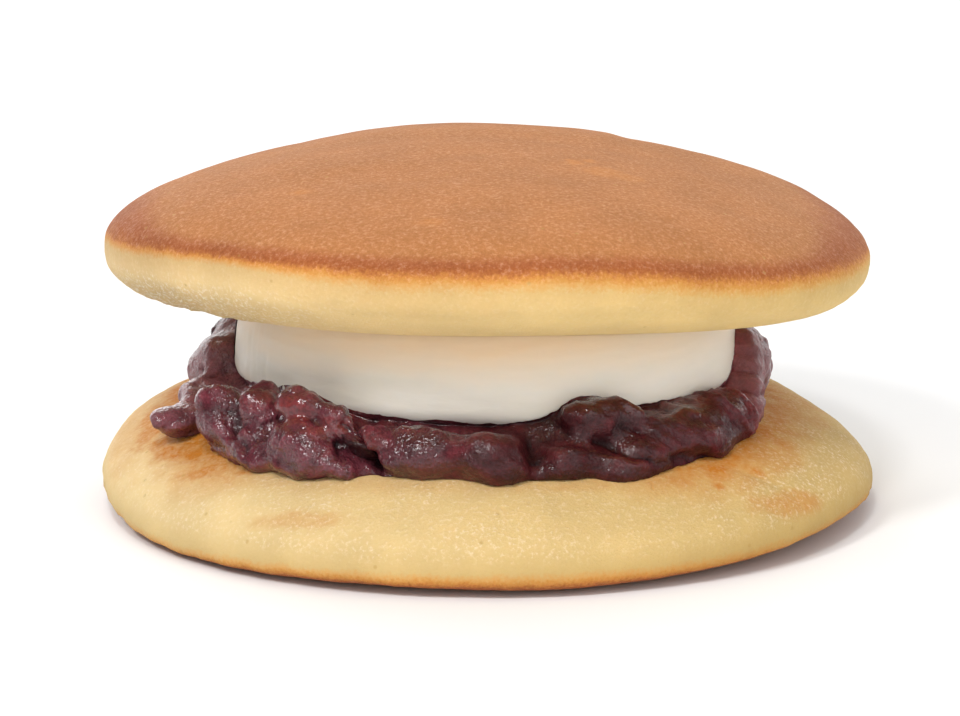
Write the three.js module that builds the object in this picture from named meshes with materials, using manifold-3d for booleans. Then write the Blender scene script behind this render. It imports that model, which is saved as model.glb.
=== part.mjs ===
// A filled dorayaki: two soft griddle pancakes round a disc of whipped cream that sits in a bed of coarse
// sweet bean paste. The paste is low at the front, where the cream shows, and heaped up elsewhere.
//
// Millimetres, +Z up, +X to the right, and -Y is the front, where the two pancakes gape most.
// The origin is the middle of the base, on the surface that the lower pancake stands on.
import * as THREE from "three";
import { ImprovedNoise } from "three/addons/math/ImprovedNoise.js";
import { mergeVertices } from "three/addons/utils/BufferGeometryUtils.js";
import Module from "manifold-3d";

const wasm = await Module();
wasm.setup();

// ---------------------------------------------------------------------------------------------------------
// Driving dimensions
// ---------------------------------------------------------------------------------------------------------

const CONTACT_GAP = 0.3; // left between pieces that touch, so that the solids stay apart

// Each pancake is two superellipse bowls that meet at its waist, the widest line round it. Lists of waves
// make it as uneven as a hand-poured one: each wave is so high (amount), so many times round (around), and
// has a crest at an angle (at), in degrees from +X.
const LOWER = {
  centre: { x: 0, y: 0 },
  radius: 47.6,
  waistHeight: 2.94,
  above: { height: 13.75, power: 2.17, pressedTo: 11 }, // pale face, pressed flat by the filling
  below: { height: 3.49, power: 3.11, pressedTo: Infinity }, // browned face, stood on
  frontLift: 0,
  rightDrop: 0,
  outline: [
    { around: 2, amount: 0.0043, at: 73 },
    { around: 4, amount: 0.0023, at: 37 },
    { around: 5, amount: 0.0041, at: -35 },
  ],
  thicknessAbove: [
    { around: 1, amount: 0.172, at: 91 },
    { around: 2, amount: 0.074, at: 87 },
  ],
  thicknessBelow: [],
  waistRise: [
    { around: 2, amount: 0.6, at: -16 },
    { around: 3, amount: 0.54, at: 58 },
    { around: 4, amount: 0.72, at: -21 },
  ],
};
const UPPER = {
  centre: { x: -0.3, y: 0.7 },
  radius: 46.9,
  waistHeight: 33.06,
  above: { height: 11.2, power: 2.0, pressedTo: Infinity }, // browned dome
  below: { height: 9.2, power: 2.77, pressedTo: 8.3 }, // pale face, pressed on the cream
  frontLift: 1.64, // the front of the waist is this much above its middle
  rightDrop: 1.06,
  outline: [
    { around: 2, amount: 0.0054, at: -80 },
    { around: 4, amount: 0.004, at: -25 },
    { around: 5, amount: 0.0036, at: -29 },
  ],
  thicknessAbove: [
    { around: 1, amount: 0.033, at: 126 },
    { around: 2, amount: 0.042, at: 72 },
    { around: 3, amount: 0.107, at: -57 },
  ],
  thicknessBelow: [
    { around: 1, amount: 0.091, at: -176 },
    { around: 2, amount: 0.087, at: 33 },
  ],
  // The sides hang lower than the front and back, as a soft pancake does over its filling.
  waistRise: [
    { around: 2, amount: 1.31, at: 82 },
    { around: 3, amount: 0.56, at: -2 },
    { around: 4, amount: 0.5, at: 22 },
  ],
};
const PANCAKE_SEGMENTS = 60;
const PANCAKE_RINGS = 10; // on each face
const PRESS_SHARPNESS = 12; // of the bend between a pancake's free rim and its pressed middle

const CREAM = {
  centre: { x: -0.3, y: -1.6 },
  radius: 30.5,
  floor: 16,
  ceiling: 30, // before the upper pancake presses it down
  footRounding: 2.4,
  shoulder: 2, // the wall draws in by this much on its way up to the ceiling
  waves: [
    { around: 2, amount: 0.3, at: 0 },
    { around: 5, amount: 0.15, at: 30 },
  ],
  segments: 48,
  roundingSteps: 3,
  wallSteps: 3,
};

// The bean paste is a ring-shaped heap round the cream, and runs under it as a thin bed.
const PASTE = {
  centre: { x: -1.5, y: -1.6 },
  foot: 8, // under the lower pancake's face, which trims it
  bedTop: 18, // before the cream is cut out of it
  radius: 35.6, // at the foot
  waves: [
    { around: 4, amount: 1.1, at: -40 },
    { around: 7, amount: 0.35, at: 15 },
  ],
  segments: 56,
  lean: { amount: 0.045, at: 175 }, // the wall slopes in most on the left
  lumpDepth: 1.1, // relief of the mashed paste
  lumpSize: 5,
};
// The ridge of the heap: low over the front, where the cream shows, and up to the upper pancake elsewhere.
// The low arc is so many degrees to each side of its middle, and "climb" is how soon it is high again.
const RIDGE = {
  low: 18,
  high: 26,
  lowArc: { middle: -99, halfWidth: 68, climb: 30 },
  humps: [
    { at: -133, rise: 1.6, spread: 13 },
    { at: -67, rise: 2.0, spread: 8 },
  ],
};

// Lumps of crushed beans that stand out of the front and sides, each a squashed ball. "at" is its angle
// round the heap, from +X, "out" its distance from the heap's middle, "up" its height above the base, and
// "size" its length round the heap, its depth and its height. "roll" tips its right end up.
const LUMPS = [
  { at: 178, out: 31.8, up: 17.8, size: [9.5, 5.2, 6.6], roll: 0 },
  { at: -172, out: 34.4, up: 15.0, size: [7.5, 5.5, 5.6], roll: 0 },
  { at: -163, out: 37.4, up: 12.4, size: [5.5, 8.8, 4.9], roll: 0 }, // the bean that has slid out furthest
  { at: -149, out: 35.6, up: 13.8, size: [8.0, 5.5, 10.2], roll: 0 },
  { at: -140, out: 33.6, up: 16.8, size: [7.0, 5.5, 6.6], roll: 0 },
  { at: -138, out: 35.8, up: 12.3, size: [8.5, 5.5, 5.4], roll: 0 },
  { at: -127, out: 33.9, up: 18.2, size: [5.8, 5.0, 4.4], roll: -20 },
  { at: -125, out: 35.9, up: 13.2, size: [9.6, 6.0, 7.4], roll: 0 },
  { at: -119, out: 33.4, up: 17.0, size: [6.4, 4.5, 3.6], roll: -25 },
  { at: -117, out: 35.3, up: 11.9, size: [5.4, 3.6, 3.2], roll: 0 },
  { at: -110, out: 34.2, up: 15.4, size: [4.6, 3.8, 3.4], roll: 0 },
  { at: -100, out: 34.2, up: 14.3, size: [9.4, 5.6, 6.8], roll: 0 },
  { at: -87, out: 35.0, up: 14.0, size: [9.8, 5.8, 7.2], roll: -8 },
  { at: -72, out: 34.8, up: 13.2, size: [9.6, 5.0, 5.6], roll: 0 },
  { at: -64, out: 33.3, up: 18.3, size: [8.4, 4.8, 3.9], roll: -10 },
  { at: -60, out: 36.4, up: 12.4, size: [10, 5.0, 5.8], roll: 10 },
  { at: -50, out: 34.2, up: 17.2, size: [8.8, 4.2, 3.6], roll: 12 },
  { at: -44, out: 36.0, up: 13.2, size: [13, 5.4, 6.2], roll: 12 },
  { at: -36, out: 33.8, up: 17.4, size: [9.5, 4.5, 4.0], roll: 12 },
  { at: -29, out: 35.0, up: 14.2, size: [8.0, 5.0, 7.1], roll: 0 },
  { at: -16, out: 34.2, up: 14.2, size: [7.5, 4.6, 6.5], roll: 0 },
  { at: -8, out: 33.0, up: 18.4, size: [7.5, 4.6, 8.0], roll: 0 },
];
const LUMP_SEGMENTS = 9;
const LUMP_RINGS = 6;

// Whole boiled azuki beans, in rows round the far side.
const BEAN = { length: 8.2, width: 5.6, thickness: 5.0, sizeSpread: 0.16, segments: 7, rings: 6 };
const BEAN_ARC = { from: 2, to: 184 }; // degrees
const BEAN_ROWS = [
  { count: 13, sink: 1.4, level: 0.1, taper: 0 }, // along the foot, lying on the pancake
  { count: 11, sink: 1.6, level: 0.5, taper: 0.05 }, // half way up
  { count: 10, sink: 1.6, level: 0.86, taper: 0.11 }, // under the upper pancake
];
const BEAN_SEED = 41;

// ---------------------------------------------------------------------------------------------------------
// Small helpers
// ---------------------------------------------------------------------------------------------------------

const radians = THREE.MathUtils.degToRad;

function sumOfWaves(waves, angle) {
  let total = 0;
  for (const wave of waves) {
    total += wave.amount * Math.cos(wave.around * (angle - radians(wave.at)));
  }
  return total;
}

// The smaller of two heights, with the corner between them rounded off.
function softLesser(a, b) {
  if (!Number.isFinite(b)) return a;
  return (Math.max(a, 1e-6) ** -PRESS_SHARPNESS + b ** -PRESS_SHARPNESS) ** (-1 / PRESS_SHARPNESS);
}

function smoothStep(value, from, to) {
  const t = THREE.MathUtils.clamp((value - from) / (to - from), 0, 1);
  return t * t * (3 - 2 * t);
}

// Repeatable random numbers from 0 to 1.
function seededRandom(seed) {
  let state = seed >>> 0;
  return () => {
    state = (Math.imul(state, 1664525) + 1013904223) >>> 0;
    return state / 4294967296;
  };
}

// A closed surface turned about Z. place(x, y, angle, point) says where a point of the profile goes.
function turned(profile, segments, place) {
  const geometry = new THREE.LatheGeometry(profile, segments);
  const position = geometry.getAttribute("position");
  const steps = profile.length;
  for (let i = 0; i < position.count; i++) {
    const point = profile[i % steps];
    const turn = Math.floor(i / steps) % segments; // the last column lies on the first
    const angle = (turn / segments) * Math.PI * 2;
    const vertex = place(point.x, point.y, angle, point);
    position.setXYZ(i, vertex.x, vertex.y, vertex.z);
  }
  geometry.deleteAttribute("uv");
  geometry.deleteAttribute("normal");
  return geometry;
}

function solidOf(geometry) {
  const bare = geometry.clone();
  bare.deleteAttribute("normal");
  bare.deleteAttribute("uv");
  const merged = mergeVertices(bare, 1e-4);
  const solid = new wasm.Manifold(
    new wasm.Mesh({
      numProp: 3,
      vertProperties: merged.getAttribute("position").array,
      triVerts: new Uint32Array(merged.index.array),
    }),
  );
  if (solid.volume() > 0) return solid;
  throw new Error("a surface was built inside out");
}

function geometryOf(solid) {
  const mesh = solid.getMesh();
  const positions = new Float32Array(mesh.numVert * 3);
  for (let i = 0; i < mesh.numVert; i++) {
    positions.set(mesh.vertProperties.subarray(i * mesh.numProp, i * mesh.numProp + 3), i * 3);
  }
  const geometry = new THREE.BufferGeometry();
  geometry.setAttribute("position", new THREE.BufferAttribute(positions, 3));
  geometry.setIndex(new THREE.BufferAttribute(mesh.triVerts, 1));
  geometry.computeVertexNormals();
  return geometry;
}

// The largest body of a solid, without the scraps that a cut leaves.
function largestBody(solid) {
  return solid.decompose().reduce((a, b) => (a.volume() > b.volume() ? a : b));
}

// ---------------------------------------------------------------------------------------------------------
// Pancakes
// ---------------------------------------------------------------------------------------------------------

// Height of one face above or below the waist, at a share of the radius.
function faceHeight(face, share) {
  const full = face.height * Math.max(0, 1 - share ** face.power) ** (1 / face.power);
  return softLesser(full, face.pressedTo);
}

// A point of the pancake's skin: share of the radius, angle, and side (1 above the waist, -1 below it).
function pancakePoint(pancake, share, angle, side) {
  const radius = pancake.radius * share * (1 + sumOfWaves(pancake.outline, angle) * share);
  const x = radius * Math.cos(angle);
  const y = radius * Math.sin(angle);
  const face = side > 0 ? pancake.above : pancake.below;
  const thickness = side > 0 ? pancake.thicknessAbove : pancake.thicknessBelow;
  const height = faceHeight(face, share) * (1 + sumOfWaves(thickness, angle) * share ** 2);
  const tilt = (-pancake.frontLift * y - pancake.rightDrop * x) / pancake.radius;
  const waist = pancake.waistHeight + tilt + sumOfWaves(pancake.waistRise, angle) * share ** 2;
  return new THREE.Vector3(
    pancake.centre.x + x,
    pancake.centre.y + y,
    Math.max(0, waist + side * height), // it stands flat
  );
}

// Its profile runs from the middle of the underside round the waist to the middle of the top.
function pancakeGeometry(pancake) {
  const shareAt = (face, step) => Math.cos((Math.PI / 2) * (step / PANCAKE_RINGS)) ** (2 / face.power);
  const profile = [];
  for (let step = PANCAKE_RINGS; step >= 0; step--) {
    profile.push(new THREE.Vector2(shareAt(pancake.below, step), -1));
  }
  for (let step = 1; step <= PANCAKE_RINGS; step++) {
    profile.push(new THREE.Vector2(shareAt(pancake.above, step), 1));
  }
  return turned(profile, PANCAKE_SEGMENTS, (share, side, angle) => pancakePoint(pancake, share, angle, side));
}

// ---------------------------------------------------------------------------------------------------------
// Cream
// ---------------------------------------------------------------------------------------------------------

// The whole disc, before the upper pancake presses on it. "grow" makes the wider one that cuts the paste.
function creamGeometry(grow) {
  const { centre, radius, floor, ceiling, footRounding, shoulder, roundingSteps, wallSteps } = CREAM;
  const profile = [new THREE.Vector2(0, floor - grow)];
  for (let i = 0; i <= roundingSteps; i++) {
    const t = (i / roundingSteps) * (Math.PI / 2);
    profile.push(
      new THREE.Vector2(
        radius - footRounding * (1 - Math.sin(t)) + grow * Math.sin(t),
        floor + footRounding * (1 - Math.cos(t)) - grow * Math.cos(t),
      ),
    );
  }
  const wallFoot = floor + footRounding;
  for (let i = 1; i <= wallSteps; i++) {
    const rise = i / wallSteps;
    const height = wallFoot + (ceiling - wallFoot) * rise;
    profile.push(new THREE.Vector2(radius + grow - shoulder * rise ** 2, height));
  }
  profile.push(new THREE.Vector2(0, ceiling));
  return turned(profile, CREAM.segments, (r, z, angle) => {
    const wavy = r * (1 + sumOfWaves(CREAM.waves, angle) / radius);
    return new THREE.Vector3(centre.x + wavy * Math.cos(angle), centre.y + wavy * Math.sin(angle), z);
  });
}

// ---------------------------------------------------------------------------------------------------------
// Bean paste
// ---------------------------------------------------------------------------------------------------------

function onHeap(radius, angle, height) {
  return new THREE.Vector3(
    PASTE.centre.x + radius * Math.cos(angle),
    PASTE.centre.y + radius * Math.sin(angle),
    height,
  );
}

function heapRadius(angle) {
  return PASTE.radius + sumOfWaves(PASTE.waves, angle);
}

// How many degrees one angle is from another, either way round.
function degreesApart(angle, degrees) {
  return THREE.MathUtils.radToDeg(Math.acos(Math.cos(angle - radians(degrees))));
}

function ridgeHeight(angle) {
  const { middle, halfWidth, climb } = RIDGE.lowArc;
  const climbed = smoothStep(degreesApart(angle, middle), halfWidth, halfWidth + climb);
  let height = THREE.MathUtils.lerp(RIDGE.low, RIDGE.high, climbed);
  for (const hump of RIDGE.humps) {
    height += hump.rise * Math.exp(-((degreesApart(angle, hump.at) / hump.spread) ** 2));
  }
  return height;
}

// How far the heap's wall has drawn in at a share of its height, as a share of its radius.
function wallLean(angle, rise) {
  const { amount, at } = PASTE.lean;
  return amount * (1 + Math.cos(angle - radians(at))) * rise ** 2;
}

// The mashed paste itself, without its beans: a ridge round a bed.
function pasteCore() {
  // Each point of the section: share of the heap's radius, and share of the ridge's height above the foot.
  const section = [
    [0, 0],
    [0.5, 0],
    [0.97, 0],
    [1.0, 0.3],
    [1.0, 0.48],
    [0.98, 0.62],
    [0.95, 0.76],
    [0.91, 0.88],
    [0.87, 0.96],
    [0.83, 1.0],
  ];
  const profile = section.map(([share, rise]) => new THREE.Vector2(share, rise));
  const bed = new THREE.Vector2(0.7, 1);
  const bedMiddle = new THREE.Vector2(0, 1);
  profile.push(bed, bedMiddle);
  const noise = new ImprovedNoise();
  return turned(profile, PASTE.segments, (share, rise, angle, point) => {
    if (point === bed || point === bedMiddle) return onHeap(share * PASTE.radius, angle, PASTE.bedTop);
    const radius = (share - wallLean(angle, rise)) * heapRadius(angle);
    const height = PASTE.foot + (ridgeHeight(angle) - PASTE.foot) * rise;
    const place = onHeap(radius, angle, height);
    if (rise === 0) return place;
    const { x, y, z } = place.clone().divideScalar(PASTE.lumpSize);
    const relief = PASTE.lumpDepth * noise.noise(x, y, z);
    return onHeap(radius + relief, angle, height + relief);
  });
}

// A squashed ball lying round the heap: size is its length that way, its depth and its height.
function lumpGeometry({ at, out, up, size, roll }) {
  const geometry = new THREE.SphereGeometry(0.5, LUMP_SEGMENTS, LUMP_RINGS);
  geometry.scale(...size);
  geometry.rotateY(radians(-roll));
  geometry.rotateZ(radians(at + 90));
  const place = onHeap(out, radians(at), up);
  geometry.translate(place.x, place.y, place.z);
  return geometry;
}

function beanGeometry(scale) {
  const geometry = new THREE.SphereGeometry(0.5, BEAN.segments, BEAN.rings);
  geometry.scale(BEAN.length * scale, BEAN.width * scale, BEAN.thickness * scale);
  return geometry;
}

// Whole beans round the far side, each a little off its place in its row, and turned at random.
function beanGeometries() {
  const random = seededRandom(BEAN_SEED);
  const stray = () => 2 * random() - 1;
  const placed = [];
  for (const { count, sink, level, taper } of BEAN_ROWS) {
    for (let i = 0; i < count; i++) {
      const share = (i + 0.5 + 0.3 * stray()) / count;
      const angle = radians(THREE.MathUtils.lerp(BEAN_ARC.from, BEAN_ARC.to, share));
      const radius = heapRadius(angle) * (1 - taper - wallLean(angle, level)) - sink + 0.9 * stray();
      const skin = lowerFaceHeight(radius, angle);
      const lowest = skin + BEAN.thickness * 0.35;
      const height = THREE.MathUtils.lerp(lowest, ridgeHeight(angle), level) + 0.5 * stray();
      const bean = beanGeometry(1 + BEAN.sizeSpread * stray());
      bean.rotateX(Math.PI * random());
      bean.rotateY(radians(28) * stray());
      bean.rotateZ(angle + Math.PI / 2 + radians(45) * stray());
      const place = onHeap(radius, angle, height);
      bean.translate(place.x, place.y, place.z);
      placed.push(bean);
    }
  }
  return placed;
}

// Height of the lower pancake's pale face at a place of the heap.
function lowerFaceHeight(radius, angle) {
  const { x, y } = onHeap(radius, angle, 0);
  const share = Math.min(1, Math.hypot(x, y) / LOWER.radius);
  return pancakePoint(LOWER, share, Math.atan2(y, x), 1).z;
}

// ---------------------------------------------------------------------------------------------------------
// The dorayaki
// ---------------------------------------------------------------------------------------------------------

const lowerPancake = solidOf(pancakeGeometry(LOWER));
const upperPancake = solidOf(pancakeGeometry(UPPER));
const upperPancakeAndGap = upperPancake.translate([0, 0, -CONTACT_GAP]);
const lowerPancakeAndGap = lowerPancake.add(lowerPancake.translate([0, 0, CONTACT_GAP]));

const cream = largestBody(solidOf(creamGeometry(0)).subtract(upperPancakeAndGap));

let heap = solidOf(pasteCore());
for (const geometry of [...LUMPS.map(lumpGeometry), ...beanGeometries()]) {
  heap = heap.add(solidOf(geometry));
}
for (const neighbour of [lowerPancakeAndGap, upperPancakeAndGap, solidOf(creamGeometry(CONTACT_GAP))]) {
  heap = heap.subtract(neighbour);
}
const paste = largestBody(heap);

function piece(name, solid, material) {
  const mesh = new THREE.Mesh(geometryOf(solid), new THREE.MeshStandardMaterial(material));
  mesh.name = name;
  return mesh;
}

const dorayaki = new THREE.Group();
dorayaki.add(
  piece("lower_pancake", lowerPancake, { color: "#eac88f", roughness: 0.8, metalness: 0 }),
  piece("bean_paste", paste, { color: "#4a2528", roughness: 0.35, metalness: 0 }),
  piece("cream", cream, { color: "#efe6d8", roughness: 0.55, metalness: 0 }),
  piece("upper_pancake", upperPancake, { color: "#c98a58", roughness: 0.8, metalness: 0 }),
);

// The middle of the base, under the middle of the whole outline, is the origin.
const outline = new THREE.Box3().setFromObject(dorayaki);
const middle = outline.getCenter(new THREE.Vector3());
for (const mesh of dorayaki.children) {
  mesh.position.set(-middle.x, -middle.y, -outline.min.z);
}

export default dorayaki;
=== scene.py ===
# A dorayaki: sweet bean paste and whipped cream between two griddle pancakes.
#
# Sizes and places below are in millimetres, from the middle of the lower pancake's base, and angles are in
# degrees from +X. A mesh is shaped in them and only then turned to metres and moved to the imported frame.

import math

import bmesh
import bpy
import numpy as np
from mathutils import Matrix, Vector, noise


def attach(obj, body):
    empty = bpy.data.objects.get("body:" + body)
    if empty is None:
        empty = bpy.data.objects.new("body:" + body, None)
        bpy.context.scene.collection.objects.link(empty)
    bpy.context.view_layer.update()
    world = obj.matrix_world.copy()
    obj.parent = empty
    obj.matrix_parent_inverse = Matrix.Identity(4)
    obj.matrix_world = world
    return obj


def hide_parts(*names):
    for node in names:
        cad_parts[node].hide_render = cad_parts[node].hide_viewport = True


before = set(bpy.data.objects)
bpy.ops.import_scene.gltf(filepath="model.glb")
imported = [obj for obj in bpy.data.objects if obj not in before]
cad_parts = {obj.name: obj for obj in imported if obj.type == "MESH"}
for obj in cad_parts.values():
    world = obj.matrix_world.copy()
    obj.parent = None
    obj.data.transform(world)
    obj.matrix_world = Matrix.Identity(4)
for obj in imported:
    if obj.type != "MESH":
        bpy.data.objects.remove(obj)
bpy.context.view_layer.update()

MM = 0.001
MIDDLE = (0.194, -0.007)  # the lower pancake's middle, from the frame's origin

# ---- Sizes ----

# Each pancake is two superellipse bowls that meet at its waist, the widest line round it. Waves are
# (times round, amount, angle of a crest), and layers of relief are (mm deep, mm across its humps, seed).
LOWER = {
    "centre": (0, 0),
    "radius": 47.6,
    "waist_height": 2.94,
    "above": {"height": 13.75, "power": 2.17, "pressed_to": 11},  # pale face, pressed by the filling
    "below": {"height": 3.49, "power": 3.11, "pressed_to": 1000},  # browned face, stood on
    "front_lift": 0,
    "right_drop": 0,
    "outline": [(2, 0.0043, 73), (4, 0.0023, 37), (5, 0.0041, -35)],
    "thickness_above": [(1, 0.172, 91), (2, 0.074, 87)],
    "thickness_below": [],
    "waist_rise": [(2, 0.6, -16), (3, 0.54, 58), (4, 0.72, -21)],
    "swell": [(0.17, 10, 3.1), (0.08, 4.2, 8.7)],
    "rim_grain": [(0.10, 2.2, 5.5), (0.06, 1.2, 6.1)],
    "browned": -1,  # the side of the waist that lay on the griddle: 1 above, -1 below
    "brown_line": 0.8,  # how far on the browned side of the waist the browning starts
    "brown_line_waves": [(2, -0.36, -90), (4, -0.14, -90), (6, 0.12, 20)],
}
UPPER = {
    "centre": (-0.3, 0.7),
    "radius": 46.9,
    "waist_height": 33.06,
    "above": {"height": 11.2, "power": 2.0, "pressed_to": 1000},  # browned dome
    "below": {"height": 9.2, "power": 2.77, "pressed_to": 8.3},  # pale face, pressed on the cream
    "front_lift": 1.64,
    "right_drop": 1.06,
    "outline": [(2, 0.0054, -80), (4, 0.004, -25), (5, 0.0036, -29)],
    "thickness_above": [(1, 0.033, 126), (2, 0.042, 72), (3, 0.107, -57)],
    "thickness_below": [(1, 0.091, -176), (2, 0.087, 33)],
    "waist_rise": [(2, 1.31, 82), (3, 0.56, -2), (4, 0.5, 22)],
    "swell": [(0.20, 11, 6.2), (0.06, 4.5, 2.9)],
    "rim_grain": [(0.07, 2.6, 9.1)],
    "browned": 1,
    "brown_line": 0.65,
    "brown_line_waves": [(7, 0.27, -77)],
}
PRESS_SHARPNESS = 12
SEGMENTS = {"pancakes": 480, "cream": 400, "paste": 160}  # round each spun form
RING_SPACING = 0.55
COVERED_RADIUS = 24  # inside this the pale faces are covered, and their rings lie far apart
# The shallow crease where the lower pancake's skin folded, low on the right.
SKIN_CREASE = {"at": (33, -28.6), "slant": 0.15, "half_length": 4.5, "half_width": 0.7, "depth": 0.35}
# The low swelling behind the middle of the upper pancake's dome, which ends in a little step on the
# right: where it starts, is full, starts to fall and ends.
DOME_SWELLING = {"x": (-34, -8, 14.5, 18), "y": (2, 12, 36, 42), "height": 0.36}
# Where the upper pancake's underside is torn, first for its relief, then for its lighter specks, which are
# partly painted light: angle and spread.
TORN_RELIEF, TORN_SPECKS_AND_GLINTS = (-150, 22), (-148, 24)

# Brown patches where the batter touched the griddle again or took up syrup: plan place, half lengths,
# direction of the longer one, and strength.
LOWER_STAINS = [
    ((-40.5, -4.0), (9.0, 3.4), 84, 0.85),  # under the stray bean and the left of the heap
    ((-36.4, -14.8), (8.5, 3.6), -56, 0.95),
    ((-31.0, -22.8), (7.5, 2.6), -40, 0.85),
    ((-41.0, 2.0), (16.0, 5.5), 84, 0.4),
    ((-22.0, -39.2), (5.4, 1.0), -24, 0.34),  # faint one on the front
    ((24.0, -31.5), (7.5, 2.4), 36, 0.4),  # along the right of the heap
    ((32.5, -22.5), (6.0, 3.4), 58, 0.5),
    ((35.5, -12.0), (7.0, 3.4), 74, 0.45),
    ((31.2, -27.4), (1.0, 0.8), 0, 0.9),
    ((26.6, -32.4), (0.9, 0.6), 0, 0.9),
    ((40.0, -4.0), (4.5, 1.6), 80, 0.35),
    ((38.0, 8.0), (9.0, 3.0), 100, 0.4),
    ((12.0, -36.6), (6.0, 0.9), 10, 0.3),
    ((35.0, -30.2), (5.6, 1.3), 40, 0.55),  # the slanting one low on the right
]
UPPER_STAINS = [
    ((13.6, -14.0), (2.4, 2.6), -20, 0.4),  # little orange flecks on the crust
    ((16.6, -15.4), (1.8, 2.0), 10, 0.35),
    ((10.1, -10.4), (1.1, 1.6), 0, 0.55),
    ((12.0, -8.4), (0.8, 1.2), 0, 0.5),
    ((-22.1, -23.6), (1.4, 1.0), 10, 0.4),
    ((-6.8, -37.3), (1.6, 0.9), 0, 0.3),
]

CREAM = {
    "centre": (-0.3, -1.6),
    "radius": 30.5,
    "floor": 16,
    "ceiling": 30,
    "foot_rounding": 2.4,
    "shoulder": 2,
    "waves": [(2, 0.3, 0), (5, 0.15, 30)],
    "upright_streaks": (206, 11),  # angle and spread
}
CREAM_RINGS = {"base": 16, "foot": 12, "wall": 40, "top": 16}

PASTE_CENTRE = (-1.5, -1.6)
PASTE_FOOT = 8
PASTE_BED_TOP = 15.8  # just under the cream
PASTE_RADIUS = 35.6
PASTE_WAVES = [(4, 1.1, -40), (7, 0.35, 15)]
PASTE_LEAN = {"amount": 0.06, "at": 175}
# Section of the heap: share of its radius, and share of the ridge's height above the foot.
PASTE_SECTION = [
    (0, 0), (0.5, 0), (0.97, 0), (1.0, 0.3), (1.0, 0.48),
    (0.98, 0.62), (0.95, 0.76), (0.91, 0.88), (0.87, 0.96), (0.83, 1.0),
]
RIDGE_LOW, RIDGE_HIGH = 17.0, 26
RIDGE_LOW_ARC = {"middle": -97, "half_width": 72, "climb": 26}
# Humps of the ridge: angle, rise and spread.
RIDGE_HUMPS = [(-160, 0.8, 12), (-136, 2.2, 13), (-107, 0.5, 5), (-66, 3.6, 7.5), (-45, 0.9, 12)]

# Lumps of crushed beans: angle round the heap, distance from its middle, height, (length round the heap,
# depth, height), and roll.
LUMPS = [
    (178, 31.8, 17.8, (9.5, 5.2, 6.6), 0),
    (-172, 34.4, 15.0, (7.5, 5.5, 5.6), 0),
    (-163, 36.7, 12.5, (6.3, 11.0, 5.2), 0),  # the bean that has slid out furthest
    (-149, 35.6, 13.8, (8.0, 5.5, 10.2), 0),
    (-140, 33.6, 16.8, (7.0, 5.5, 6.6), 0),
    (-138, 35.8, 12.3, (8.5, 5.5, 5.4), 0),
    (-127, 33.9, 18.2, (5.8, 5.0, 4.4), -20),
    (-125, 35.9, 13.2, (9.6, 6.0, 7.4), 0),
    (-119, 33.4, 17.0, (6.4, 4.5, 3.6), -25),
    (-117, 35.3, 11.9, (5.4, 3.6, 3.2), 0),
    (-110, 34.2, 15.4, (4.6, 3.8, 3.4), 0),
    (-100, 34.2, 14.3, (9.4, 5.6, 6.8), 0),
    (-87, 35.0, 14.0, (9.8, 5.8, 7.2), -8),
    (-72, 34.8, 13.2, (9.6, 5.0, 5.6), 0),
    (-64, 33.0, 17.6, (11.5, 4.6, 4.6), -6),
    (-60, 36.4, 12.4, (10, 5.0, 5.8), 10),
    (-50, 34.2, 16.3, (8.8, 4.2, 3.6), 12),
    (-44, 36.0, 13.2, (13, 5.4, 6.2), 12),
    (-36, 33.8, 15.9, (9.5, 4.5, 4.0), 12),
    (-29, 35.0, 14.2, (8.0, 5.0, 7.1), 0),
    (-16, 34.2, 14.2, (7.5, 4.6, 6.5), 0),
    (-8, 33.0, 18.4, (7.5, 4.6, 8.0), 0),
    (4, 33.8, 16.8, (9.0, 5.5, 9.0), 0),
]
LUMP_UNEVENNESS = 0.2  # of its radius

# Creases, below 0, and folds, above 0, in the heap's outer face: from and to, each (angle, height), then
# width and depth.
FOLDS = [
    ((-185, 21.5), (-166, 19.5), 1.0, -0.7),  # the two folds in the sloping face at the far left
    ((-178, 17.0), (-158, 17.2), 1.1, -0.9),
    ((-172, 18.6), (-160, 18.4), 0.9, 0.5),
    ((-143.7, 18.9), (-141.8, 14.7), 1.1, -1.3),  # between the two tall lumps on the left
    ((-140.6, 14.3), (-135.8, 13.4), 1.0, -1.2),
    ((-135.2, 16.0), (-130.8, 17.9), 0.45, 0.4),
    ((-127.4, 16.3), (-120.5, 16.8), 0.5, -0.2),  # under the red bean
    ((-113.4, 15.2), (-109.4, 12.8), 0.75, -2.3),  # the dark hole left of the middle
    ((-116.2, 17.2), (-112.5, 15.3), 0.8, -1.0),
    ((-105.3, 18.0), (-92.0, 16.9), 0.5, -0.5),
    ((-79.6, 17.8), (-78.6, 13.4), 1.0, -1.4),  # the right end of the long roll
    ((-78.0, 16.6), (-65.7, 14.9), 1.3, -0.9),  # under the hump
    ((-62.0, 20.0), (-56.7, 17.6), 0.5, 0.5),
    ((-63.0, 18.0), (-64.3, 16.6), 0.5, 0.35),
    ((-66.7, 15.5), (-58.7, 13.1), 0.4, -0.4),
    ((-64.0, 14.4), (-56.0, 12.4), 0.4, -0.35),
    ((-61.0, 16.4), (-53.0, 14.2), 0.4, -0.35),
    ((-55.0, 18.6), (-48.0, 18.2), 0.8, -0.9),  # a gap behind the crest
    ((-51.4, 12.7), (-44.3, 11.5), 1.2, -1.4),  # the hollow low on the right
    ((-50.0, 17.0), (-40.0, 15.6), 0.6, -0.4),
    ((-36.4, 18.1), (-29.3, 13.0), 0.45, 0.6),  # the two thin bright folds
    ((-29.5, 17.5), (-27.5, 13.2), 0.45, 0.5),
    ((-22.0, 17.2), (-14.0, 15.5), 0.7, -0.6),
]
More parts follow.
